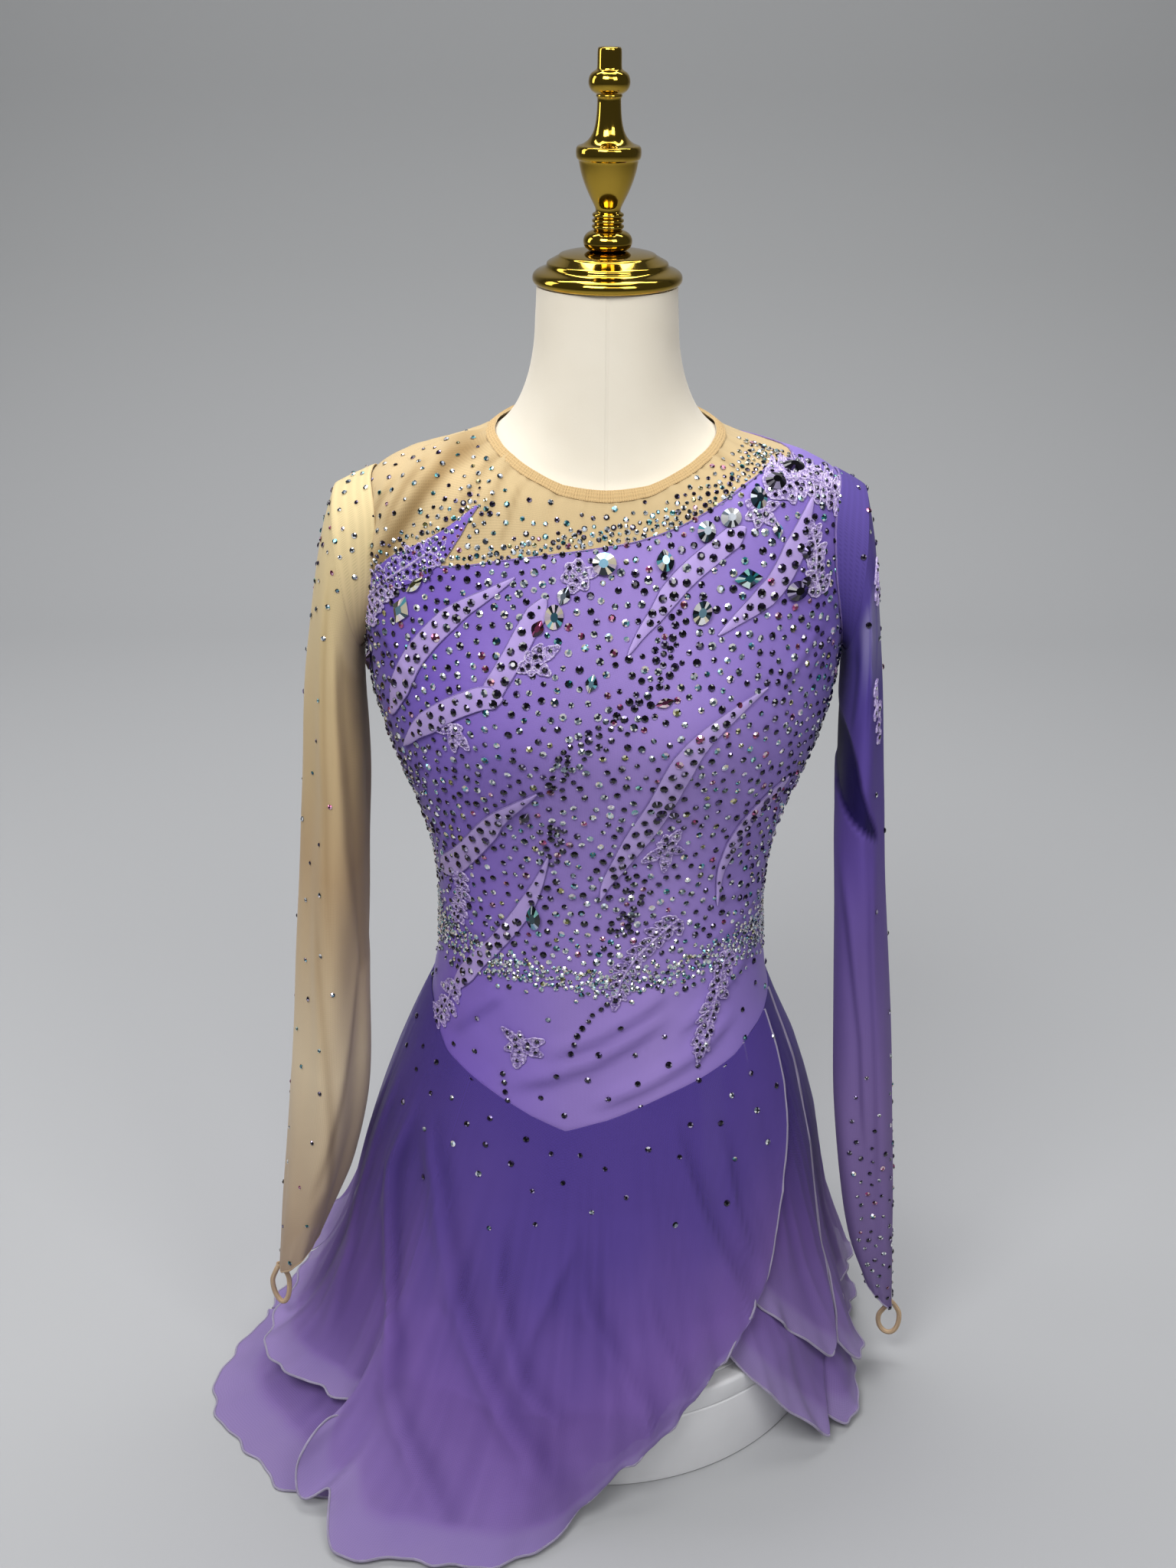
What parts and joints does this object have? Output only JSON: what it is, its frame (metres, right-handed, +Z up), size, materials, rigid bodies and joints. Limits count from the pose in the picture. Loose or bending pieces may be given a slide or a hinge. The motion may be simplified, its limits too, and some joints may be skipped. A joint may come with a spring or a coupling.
{
  "type": "figure skating dress on a dress form",
  "caption": "Long-sleeved skating dress with slanted nude yoke, one nude and one purple sleeve, pointed hip seam and layered wrap skirt, on a limbless dress form with a round base.",
  "frame": {"origin": "on the form's upright axis, at the underside of the round base", "axes": "+Z up the form, +X to the viewer's right, the dress faces -Y"},
  "size_m": [0.5233, 0.4661, 0.9435],
  "materials": {
    "nude_mesh": "fine matt stretch mesh",
    "lilac_jersey": "soft stretch cloth, violet at the sides and lilac in the middle",
    "violet_mesh": "sheer stretch mesh, darker at the shoulder",
    "chiffon": "sheer matt chiffon, dark violet at the seam and lilac at the hem",
    "strip_satin": "pale lilac cloth with a soft sheen",
    "lace": "embroidered lace",
    "crystal": "cut crystal with a foiled back",
    "form_linen": "off-white linen stretched over the form",
    "gold_metal": "polished gold",
    "plinth_plastic": "satin white"
  },
  "bodies": {
    "root": {"dress_form": "form_linen", "plinth_drum": "plinth_plastic", "plinth_disc": "plinth_plastic", "neck_plate": "gold_metal", "finial": "gold_metal", "bodice_front": "lilac_jersey", "bodice_back": "lilac_jersey", "flame_spike": "lilac_jersey", "yoke_front": "nude_mesh", "yoke_back": "nude_mesh", "neck_band": "nude_mesh", "sleeve_right_front_upper": "nude_mesh", "sleeve_right_front_lower": "nude_mesh", "sleeve_right_back_upper": "nude_mesh", "sleeve_right_back_lower": "nude_mesh", "sleeve_left_front_upper": "violet_mesh", "sleeve_left_front_lower": "violet_mesh", "sleeve_left_back_upper": "violet_mesh", "sleeve_left_back_lower": "violet_mesh", "finger_loop_right": "nude_mesh", "finger_loop_left": "nude_mesh", "skirt_front_wrap": "chiffon", "skirt_front_under": "chiffon", "skirt_side_upper": "chiffon", "skirt_side_lower": "chiffon", "skirt_back_upper": "chiffon", "skirt_back_lower": "chiffon", "strip_a": "strip_satin", "strip_b": "strip_satin", "strip_c": "strip_satin", "strip_d": "strip_satin", "strip_e": "strip_satin", "strip_f": "strip_satin", "strip_g": "strip_satin", "strip_h": "strip_satin", "strip_i": "strip_satin", "motif_shoulder": "lace", "motif_chest_left": "lace", "motif_neckline": "lace", "motif_armhole": "lace", "motif_butterfly": "lace", "motif_three_petal": "lace", "motif_waist_middle": "lace", "motif_waist_side": "lace", "motif_belt": "lace", "motif_hip_left": "lace", "motif_hip_right": "lace", "motif_hip_middle": "lace", "stone_round": "crystal", "stone_pear": "crystal", "stone_rhombus": "crystal", "stone_oval_chest": "crystal", "stone_teal": "crystal", "stone_blue": "crystal", "stone_dark": "crystal", "stone_waist": "crystal"}
  },
  "joints": []
}
